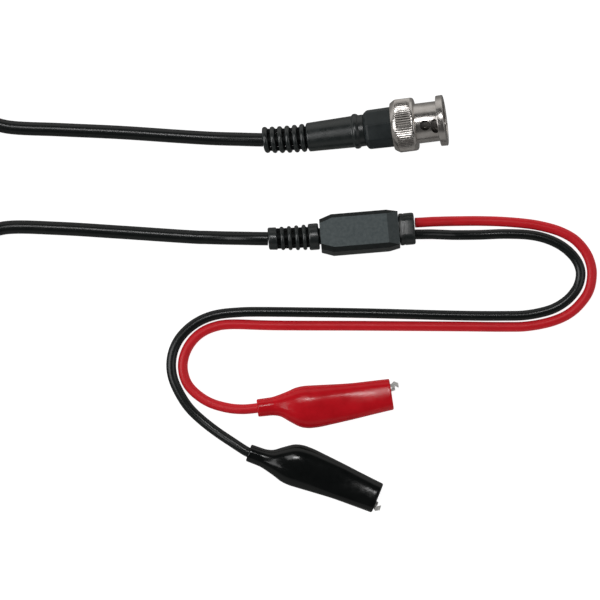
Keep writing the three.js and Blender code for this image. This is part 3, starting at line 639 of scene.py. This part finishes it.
def make_plug_relief():
    head = [(12.25, 2.0), (12.0, 3.2), (12.35, 3.92), (24.7, 4.3), (25.0, 4.72), (25.6, 4.82),
            (26.2, 4.66), (26.45, 4.32), (27.95, 4.3), (27.95, 2.72), (21.7, 2.72), (21.5, 2.0),
            (12.25, 2.0)]
    rings = [(0.85 + 2.02 * i, 3.6 + 0.053 * i, 1.5 if i == 0 else 1.38) for i in range(6)]
    lattice("bend_relief", PLUG, PLUG_BEND, head, rings, (0.5, 12.2, 3.05, 1.3), BLACK_RUBBER, RELIEF_BORE,
            "black_rubber", "plug_bend_relief")


make_plug_relief()


def make_grip_collar():
    """Eight flats with eased corners, a rounded rear shoulder, and a round bore."""
    flats = 8
    outside = soft_corners([(28.0, 4.45), (28.45, 5.0), (29.0, 5.3), (35.3, 5.42), (35.45, 5.3),
                            (35.45, 4.47)], 0.35, 4)
    profile = [*outside, (31.0, 4.47), (30.7, 2.75), (28.0, 2.75), (28.0, 4.45)]

    def flat_sided(_along, radius, angle):
        if radius < 4.8:
            return radius
        within = (angle + math.pi / flats) % (2 * math.pi / flats) - math.pi / flats
        flat = radius * math.cos(math.pi / flats) / math.cos(within) * 1.035
        return min(flat, radius * 1.03)

    shape = turned(profile, 160, flat_sided)
    piece = finish_mesh("grip_collar", *shape, PLUG @ Matrix.Rotation(math.radians(11), 4, "X"),
                        COLLAR_PLASTIC, sharp=20, slot="matte_black_plastic")
    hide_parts("plug_grip_collar")


make_grip_collar()


def make_plug_body():
    profile = [(27.0, 1.3), (27.0, 1.82), (30.95, 1.82), (31.1, BODY_RADIUS), (35.7, BODY_RADIUS),
               (35.72, 4.05), (36.33, 4.05), (36.35, BODY_RADIUS), (39.6, BODY_RADIUS), (39.62, 4.8),
               (40.9, 4.8),
               (40.92, FERRULE_RADIUS), (48.2, FERRULE_RADIUS), (48.5, 3.85), (48.5, 3.5), (41.4, 3.5),
               (41.2, 2.45), (33.5, 2.45), (33.4, 1.3), (27.0, 1.3)]
    slots = [spun(box((42.4, 49), (-5, 5), (-0.22, 0.22)), angle) for angle in (45, 135)]
    shape = carve(turned(soft_corners(profile, 0.12), 96), slots)
    # The body takes the darker copy of the nickel as painted shade.
    piece = finish_mesh("plug_shell", *shape, PLUG, SHADED_NICKEL, slot="nickel")
    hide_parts("plug_body")


make_plug_body()


def make_plug_insides():
    pin = [(34.0, 0.5), (34.0, 1.0), (37.9, 1.0), (38.1, 0.675), (47.3, 0.675), (47.9, 0.45),
           (48.05, 0.02), (36.5, 0.02), (36.5, 0.5), (34.0, 0.5)]
    insides = [
        ("dielectric_insert", ring_profile(33.7, 43.5, 0.8, 2.35), INSULATION, "white_insulation",
         "plug_dielectric"),
        ("contact_pin", soft_corners(pin, 0.2), GOLD, "gold", "plug_centre_pin"),
        ("sealing_ring", ring_profile(41.0, 41.8, 4.12, 4.75, 0.25), SEAL_RUBBER, "seal_rubber",
         "plug_gasket"),
    ]
    for name, profile, material, slot, node_name in insides:
        piece = finish_mesh(name, *turned(profile, 64), PLUG, material, slot=slot)
        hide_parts(node_name)


make_plug_insides()


def make_wave_washer():
    """The thin three-wave washer behind the flange. The real one flattens as the nut is pulled forward; this one
    keeps its waves.
    """
    low, high, inner, outer, swing = 38.68, 38.92, 4.48, 4.8, 0.5
    points, faces = turned(ring_profile(low, high, inner, outer, 0.06), 96)
    waves = [(x + swing * math.cos(3 * math.atan2(y, z)), y, z) for x, y, z in points]
    piece = finish_mesh("wave_washer", waves, faces, PLUG, STEEL, slot="steel")
    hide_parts("nut_wave_washer")
    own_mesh(piece)


make_wave_washer()


def knurled_nut():
    """The coupling nut, with straight knurling round its ring."""
    teeth, depth = 66, 0.2
    outside = soft_corners([(35.5, 5.1), (35.5, 6.35), (36.1, 6.75), (36.9, 7.22), (41.2, 7.25),
                            (41.75, 7.1), (42.0, 6.7), (42.02, SLEEVE_RADIUS), (48.05, SLEEVE_RADIUS),
                            (48.1, 6.85),
                            (49.85, 6.93), (50.0, 6.7), (50.0, 5.2)], 0.14, 3)
    knurl_rows = list(np.linspace(36.95, 41.15, 10))
    outside = [p for p in outside if not 36.96 < p[0] < 41.14]
    at = next(i for i, p in enumerate(outside) if p[0] >= 41.14)
    outside[at:at] = [(x, 7.25) for x in knurl_rows]
    inside = [(49.7, NUT_BORE), (46, NUT_BORE), (42, NUT_BORE), (37.62, NUT_BORE), (37.6, 4.45),
              (36.4, 4.45), (36.38, 5.0), (35.5, 5.0), (35.5, 5.1)]

    def knurled(along, radius, angle):
        if radius < 7.1:
            return radius
        fade = min(1, max(0, (along - 36.75) / 0.35)) * min(1, max(0, (41.35 - along) / 0.35))
        ridge = 0.5 + 0.5 * math.cos(teeth * angle)
        return radius - fade * depth * (1 - ridge ** 0.8)

    return turned([*outside, *inside], teeth * 6, knurled)


def bayonet_ramp():
    """The cut of one lug way: in from the front face, then round and back to the lock hole."""
    rows = [(51.0, 80), (49.0, 80), (47.4, 78)]
    rows += [(46.9 + (LOCK_HOLE["at"] - 46.9) * t, 72 + (LOCK_HOLE["angle"] - 72) * t)
             for t in np.linspace(0, 1, 9)]
    low, high, half = 4.2, NUT_BORE + 0.28, 1.15
    vertices, faces = [], []
    for index, (along, angle) in enumerate(rows):
        after = rows[min(index + 1, len(rows) - 1)]
        before = rows[max(index - 1, 0)]
        run = Vector((after[0] - before[0], math.radians(after[1] - before[1]) * 5, 0)).normalized()
        across = Vector((-run.y, run.x, 0))
        for side, radius in ((-half, low), (half, low), (half, high), (-half, high)):
            x = along + across.x * side
            around = math.radians(angle) + across.y * side / 5
            vertices.append((x, -radius * math.sin(around), radius * math.cos(around)))
    for i in range(len(rows) - 1):
        for k in range(4):
            j = (k + 1) % 4
            faces.append([i * 4 + k, i * 4 + j, (i + 1) * 4 + j, (i + 1) * 4 + k])
    faces += [[0, 1, 2, 3], list(range(len(vertices) - 1, len(vertices) - 5, -1))]
    return vertices, faces


def radial_hole(at, half_length, half_width, angle, reach=(4.0, 7.0), sides=32, clip=99.0):
    """An oval hole through the sleeve's wall; clip keeps it behind the flange."""
    turn = Matrix.Rotation(math.radians(angle), 4, "X")
    vertices, faces = [], []
    for z in reach:
        for k in range(sides):
            t = 2 * math.pi * k / sides
            x = min(at + half_length * math.cos(t), clip)
            vertices.append(tuple(turn @ Vector((x, half_width * math.sin(t), z))))
    for k in range(sides):
        faces.append([k, (k + 1) % sides, sides + (k + 1) % sides, sides + k])
    faces += [list(range(sides)), list(range(2 * sides - 1, sides - 1, -1))]
    return vertices, faces


def make_nut():
    radius = LOCK_HOLE["radius"]
    lock_hole = radial_hole(LOCK_HOLE["at"], radius, radius, LOCK_HOLE["angle"])
    window = radial_hole(47.4, 1.25, 2.0, 16, clip=48.04)
    tools = [spun(tool, half_turn) for half_turn in (0, 180)
             for tool in (bayonet_ramp(), lock_hole, window)]
    piece = finish_mesh("coupling_nut_shell", *carve(knurled_nut(), tools), PLUG, NICKEL,
                        body="coupling_nut", slot="nickel")
    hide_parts("nut")


make_nut()


# ---- Splitter ----
def make_splitter_relief():
    rear = [(0.0, 2.0), (0.0, 2.7), (0.25, 3.02), (2.2, 3.08), (2.4, 2.9), (2.4, 2.0), (0.0, 2.0)]
    rings = [(3.85 + 2.0 * i, 3.22 + 0.09 * i, 1.15) for i in range(4)]
    head = [(11.0, 2.0), (11.0, 3.35), (11.3, 3.6), (13.5, 3.62), (13.8, 3.4), (13.82, 2.2), (15.3, 2.2),
            (15.3, 2.0), (11.0, 2.0)]
    lattice("splitter_relief", SPLITTER, SPLITTER_BEND, head, rings, (1.5, 11.2, 2.85, 1.2),
            BLACK_RUBBER, RELIEF_BORE, "black_rubber", "splitter_bend_relief")
    finish_mesh("splitter_relief_cuff", *bent(turned(soft_corners(rear, 0.2), 72), SPLITTER_BEND),
                SPLITTER, BLACK_RUBBER, slot="black_rubber")


make_splitter_relief()


def make_lead_collar():
    """The oval collar of the two leads: rounded at its rim, with a neck that the block's mouth holds."""
    stations = [(34.3, 3.5, 1.87), (34.4, 3.55, 1.92), (35.68, 3.55, 1.92), (35.7, 4.05, 2.45),
                (35.85, 4.3, 2.7), (36.1, 4.4, 2.8), (36.7, 4.4, 2.8), (36.8, 4.28, 2.68),
                (37.1, 4.28, 2.68), (37.2, 4.38, 2.78), (39.3, 4.38, 2.78), (39.65, 4.3, 2.7),
                (39.85, 4.08, 2.48), (39.9, 3.8, 2.2)]  # along, half width, half height
    sides = 64
    vertices, faces = [], []
    for along, half_width, half_height in stations:
        for k in range(sides):
            t = 2 * math.pi * k / sides
            y = half_height * math.cos(t) + math.copysign(half_width - half_height, math.cos(t))
            vertices.append((along, y, half_height * math.sin(t)))
    for i in range(len(stations) - 1):
        for k in range(sides):
            j = (k + 1) % sides
            faces.append([i * sides + k, i * sides + j, (i + 1) * sides + j, (i + 1) * sides + k])
    faces += [list(range(sides)), list(range(len(vertices) - 1, len(vertices) - 1 - sides, -1))]
    holes = [sweep([(33, side, 0), (41, side, 0)], circle(LEAD_RADIUS + 0.1, 32)) for side in (-1.6, 1.6)]
    piece = finish_mesh("lead_collar", *carve((vertices, faces), holes), SPLITTER, BLACK_RUBBER,
                        slot="black_rubber")
    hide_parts("splitter_lead_collar")


make_lead_collar()


# ---- Clip boots ----
# Place along the boot, how far it reaches above, below and beside its axis, its wall, and how square
# its section is.
BOOT_STATIONS = [
    (0.0, 2.4, 2.4, 2.35, 0.85, 2.0), (2.2, 2.47, 2.42, 2.38, 0.85, 2.0),
    (4.4, 2.6, 2.5, 2.42, 0.85, 2.05), (6.0, 2.95, 2.95, 2.7, 0.75, 2.1),
    (8.5, 3.65, 4.7, 3.3, 0.7, 2.2), (11.0, 4.45, 6.3, 3.75, 0.7, 2.25),
    (13.2, 4.68, 6.9, 3.9, 0.7, 2.3), (15.5, 4.6, 6.95, 3.84, 0.7, 2.3),
    (20.0, 4.35, 6.5, 3.46, 0.7, 2.4), (26.0, 4.07, 5.75, 3.1, 0.7, 2.7),
    (31.5, 4.08, 4.95, 3.16, 0.7, 2.8), (36.7, 4.12, 4.25, 3.42, 0.7, 2.8),
]
BOOT_TWIST = -9  # degrees about its axis, all in the front half
BOOT_SLANT = 0.05  # how much farther the mouth reaches per millimetre below the axis
BLACK_BOOT_STRETCH = 0.5  # the black boot sits this much farther forward at its mouth


def boot_station(along):
    """The boot's measures at a place along it, by a smooth curve through its stations."""
    rows = np.array(BOOT_STATIONS)
    slopes = np.gradient(rows, rows[:, 0], axis=0)
    i = int(np.clip(np.searchsorted(rows[:, 0], along) - 1, 0, len(rows) - 2))
    gap = rows[i + 1, 0] - rows[i, 0]
    t = (along - rows[i, 0]) / gap
    weights = (2 * t ** 3 - 3 * t ** 2 + 1, t ** 3 - 2 * t ** 2 + t, 3 * t ** 2 - 2 * t ** 3,
               t ** 3 - t ** 2)
    return (weights[0] * rows[i] + weights[1] * gap * slopes[i] + weights[2] * rows[i + 1]
            + weights[3] * gap * slopes[i + 1])


def boot_shell(flip, stretch, sides=72):
    """The boot as an outer and an inner skin joined by rounded lips at the wire end and the mouth."""
    length = BOOT_STATIONS[-1][0]
    lip = 0.35
    rings = []
    for along in np.linspace(lip, length - lip, 70):
        rings.append((along, 0.0))
    around_lip = np.linspace(0, math.pi, 9)[1:-1]
    outer = list(rings)
    mouth = [(length - lip + lip * math.sin(t), 0.5 - 0.5 * math.cos(t)) for t in around_lip]
    inner = [(along, 1.0) for along, _ in reversed(rings)]
    tail = [(lip - lip * math.sin(t), 0.5 + 0.5 * math.cos(t)) for t in around_lip]
    loop = [*outer, *mouth, *inner, *tail]
    vertices, faces = [], []
    for along, depth in loop:
        _, above, below, beside, wall, square = boot_station(along)
        height, centre = (above + below) / 2 - wall * depth, (above - below) / 2
        reach = max(0.0, (along - 24) / (length - 24))
        share = min(1.0, max(0.0, (along - 18) / 14))
        twist = math.radians(BOOT_TWIST) * flip * share * share * (3 - 2 * share)
        for k in range(sides):
            angle = 2 * math.pi * k / sides
            c, d = math.cos(angle), math.sin(angle)
            y = centre + height * math.copysign(abs(c) ** (2 / square), c)
            z = (beside - wall * depth) * math.copysign(abs(d) ** (2 / square), d)
            y, z = y * math.cos(twist) - z * math.sin(twist), y * math.sin(twist) + z * math.cos(twist)
            vertices.append((along - BOOT_SLANT * y * reach + stretch * reach * reach, y, z))
    for i in range(len(loop)):
        for k in range(sides):
            j = (k + 1) % sides
            n = (i + 1) % len(loop)
            faces.append([i * sides + k, i * sides + j, n * sides + j, n * sides + k])
    return vertices, faces


def make_boots():
    for colour, material, flip, stretch in (("red", RED_BOOT, 1, 0.0),
                                            ("black", BLACK_BOOT, -1, BLACK_BOOT_STRETCH)):
        matrix = CLIPS[colour]
        boot = finish_mesh(f"{colour}_boot", *boot_shell(flip, stretch), matrix, material, body=None,
                           sharp=60, slot=f"{colour}_boot")
        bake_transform(boot)
        boot.visible_glossy = colour == "black"
        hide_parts(f"{colour}_clip_boot")


make_boots()


def spring_points():
    """The torsion spring: a leg by the fixed jaw's back, a coil round the rivet, a leg on the lever."""
    coil, pitch, turns, steps = 1.0, 0.42, 2.6, 44
    points = [(14.8, 2.1, 0.55), (17.6, 1.3, 0.55)]
    for i in range(steps + 1):
        done = turns * i / steps
        angle = math.radians(110) - 2 * math.pi * done
        points.append((CLIP_PIVOT[0] + coil * math.cos(angle), CLIP_PIVOT[1] + coil * math.sin(angle),
                       0.55 - pitch * done))
    return smooth_path([*points, (17.2, -2.2, -0.54), (14.4, -3.45, -0.54)], 0.2)


def make_springs():
    for colour, matrix in CLIPS.items():
        spring = finish_mesh(f"{colour}_torsion_spring", *sweep(spring_points(), circle(0.17, 12)),
                             matrix, STEEL, body=None, slot="steel")
        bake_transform(spring)
        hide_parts(f"{colour}_clip_spring")


make_springs()


# ---- CAD nodes that keep their shape, with better surfaces ----
# Painted shade: the cable ends take the darker matt cable copy, and the splitter's shells the block plastic with
# its painted bevel shade.
KEPT = {
    "cable_end_in_plug": SHADED_CABLE, "plug_crimp_ferrule": NICKEL, "nut_retaining_ring": STEEL,
    "nut_thrust_washer": STEEL, "cable_end_in_splitter": SHADED_CABLE,
    "core_wire": COPPER, "braid_pigtail": COPPER, "red_splice": STEEL, "black_splice": STEEL,
    "red_lead_tail": RED_CABLE, "black_lead_tail": BLACK_CABLE, "splitter_upper_shell": BLOCK_PLASTIC_PAINTED_BEVEL_SHADE,
    "splitter_lower_shell": BLOCK_PLASTIC_PAINTED_BEVEL_SHADE, "red_crimped_wire": COPPER, "black_crimped_wire": COPPER,
}
EASED_EDGES = {"splitter_upper_shell": 0.22, "splitter_lower_shell": 0.22, "plug_crimp_ferrule": 0.1,
               "nut_retaining_ring": 0.06, "red_splice": 0.08, "black_splice": 0.08}
for side in ("red", "black"):
    for part in ("fixed_jaw", "moving_jaw", "rivet"):
        KEPT[f"{side}_clip_{part}"] = STEEL


def dress_kept_nodes():
    for name, material in KEPT.items():
        node = frame["nodes"][name]
        node.data.materials.clear()
        node.data.materials.append(material)
        bevel = node.modifiers.new("eased edges", "BEVEL")
        bevel.width = EASED_EDGES.get(name, 0.05) * MM
        bevel.segments = 3
        bevel.limit_method = "ANGLE"
        bevel.angle_limit = math.radians(32)
        bevel.harden_normals = True


dress_kept_nodes()


# ---- Bench and light ----
def make_bench():
    mesh = bpy.data.meshes.new("bench")
    size = 3.0  # metres each way
    corners = [(-size, -size, 0), (size, -size, 0), (size, size, 0), (-size, size, 0)]
    mesh.from_pydata(corners, [], [(0, 1, 2, 3)])
    bench = bpy.data.objects.new("bench", mesh)
    bpy.context.scene.collection.objects.link(bench)
    material = bpy.data.materials.new("bench_white")
    material.use_nodes = True
    shader = material.node_tree.nodes["Principled BSDF"]
    shader.inputs["Base Color"].default_value = (0.3, 0.3, 0.3, 1)
    shader.inputs["Roughness"].default_value = 0.9
    shader.inputs["Specular IOR Level"].default_value = 0.0
    shader.inputs["Emission Color"].default_value = (1, 1, 1, 1)
    shader.inputs["Emission Strength"].default_value = 0.95
    mesh.materials.append(material)
    bench.visible_glossy = False


def softbox(name, angle_x, angle_y, distance, size, radiance):
    """A soft light above the bench, tipped from the vertical by the given angles and facing the lead."""
    data = bpy.data.lights.new(name, "AREA")
    data.shape = "RECTANGLE"
    data.size, data.size_y = size
    data.energy = radiance * math.pi * size[0] * size[1]
    light = bpy.data.objects.new(name, data)
    tip_x, tip_y = math.radians(angle_x), math.radians(angle_y)
    place = Vector((math.tan(tip_x), math.tan(tip_y), 1)).normalized() * distance
    light.location = place
    light.rotation_euler = place.to_track_quat("Z", "Y").to_euler()
    bpy.context.scene.collection.objects.link(light)


# Brightness of the room by angle from straight up, towards -Y (negative) and +Y, all the way round.
ROOM = [(-180, 0.12), (-112, 0.16), (-92, 0.24), (-62, 0.24), (-50, 0.05), (0, 0.05), (40, 0.04), (54, 0.06),
        (64, 0.5), (96, 0.58), (125, 0.24), (180, 0.12)]


def make_light():
    world = bpy.data.worlds.new("studio")
    bpy.context.scene.world = world
    world.use_nodes = True
    tree = world.node_tree
    back = tree.nodes["Background"]
    place = tree.nodes.new("ShaderNodeTexCoord")
    split = tree.nodes.new("ShaderNodeSeparateXYZ")
    angle = tree.nodes.new("ShaderNodeMath")
    angle.operation = "ARCTAN2"
    share = tree.nodes.new("ShaderNodeMapRange")
    share.inputs["From Min"].default_value, share.inputs["From Max"].default_value = -math.pi, math.pi
    ramp = tree.nodes.new("ShaderNodeValToRGB")
    tree.links.new(place.outputs["Generated"], split.inputs["Vector"])
    tree.links.new(split.outputs["Y"], angle.inputs[0])
    tree.links.new(split.outputs["Z"], angle.inputs[1])
    tree.links.new(angle.outputs[0], share.inputs["Value"])
    tree.links.new(share.outputs["Result"], ramp.inputs["Fac"])
    tree.links.new(ramp.outputs["Color"], back.inputs["Color"])
    stops = ramp.color_ramp.elements
    while len(stops) < len(ROOM):
        stops.new(0.5)
    for stop, (degrees, grey) in zip(stops, ROOM):
        stop.position = (degrees + 180) / 360
        stop.color = (grey, grey * 0.985, grey * 0.96, 1)
    softbox("key", -10, 22, 0.8, (0.22, 0.24), 3.0)
    softbox("key_core", -1, 20, 0.79, (0.12, 0.08), 16)
    softbox("left", -48, 0, 0.8, (0.5, 0.6), 2.6)
    softbox("right", 48, 0, 0.8, (0.5, 0.6), 0.8)
    bpy.context.scene.view_settings.view_transform = "Standard"


make_bench()
make_light()
